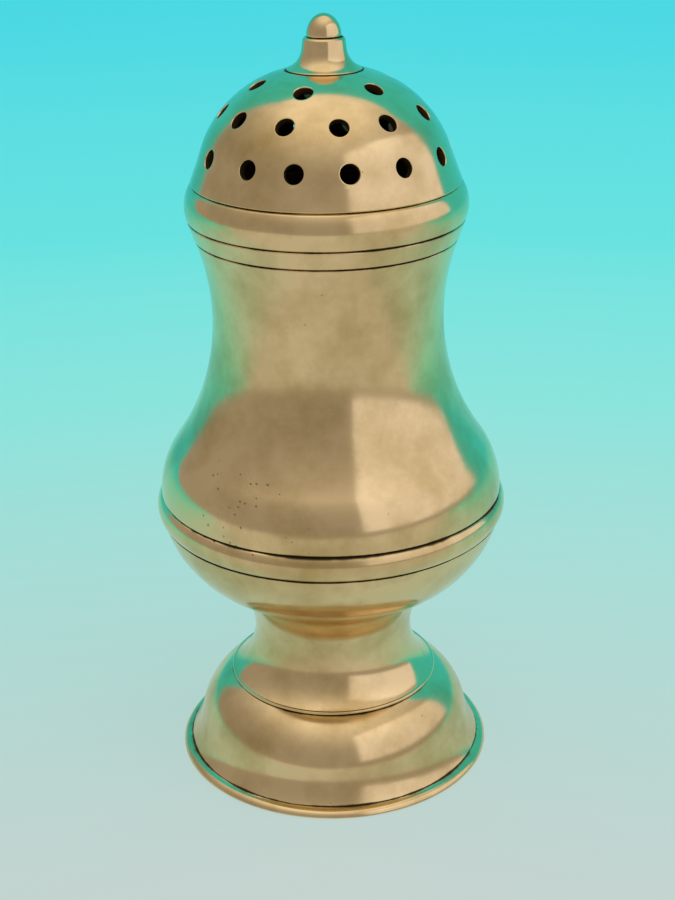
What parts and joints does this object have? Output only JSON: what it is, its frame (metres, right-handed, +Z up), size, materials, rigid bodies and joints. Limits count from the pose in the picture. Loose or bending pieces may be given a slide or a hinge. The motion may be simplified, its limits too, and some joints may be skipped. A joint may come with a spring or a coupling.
{
  "type": "sugar caster",
  "caption": "Baluster sugar caster in polished brass: domed foot, waisted stem, bellied body, and a pull-off domed cover pierced with sprinkle holes under a small finial.",
  "frame": {"origin": "on the turning axis, at the level of the table that the foot's rim stands on", "axes": "+Z up along the turning axis, -Y towards the viewer of the picture, +X to the viewer's right"},
  "size_m": [0.06, 0.06, 0.13],
  "materials": {
    "polished_brass": "polished, softened by wear, with dark dirt in the turned lines",
    "rubbed_brass": "satin, rubbed by sliding in the mouth"
  },
  "bodies": {
    "caster_body": {"foot_rim": "polished_brass", "foot": "polished_brass", "stem": "polished_brass", "lower_bowl": "polished_brass", "girdle": "polished_brass", "upper_body": "polished_brass", "mouth_ring": "polished_brass"},
    "cover": {"cover_rim": "polished_brass", "cover_bezel": "rubbed_brass", "cover_dome": "polished_brass", "finial": "polished_brass"}
  },
  "joints": [
    {"name": "cover_lift", "type": "slide", "parent": "caster_body", "child": "cover", "axis": [0, 0, 1], "range_m": [0, 0.025]}
  ]
}
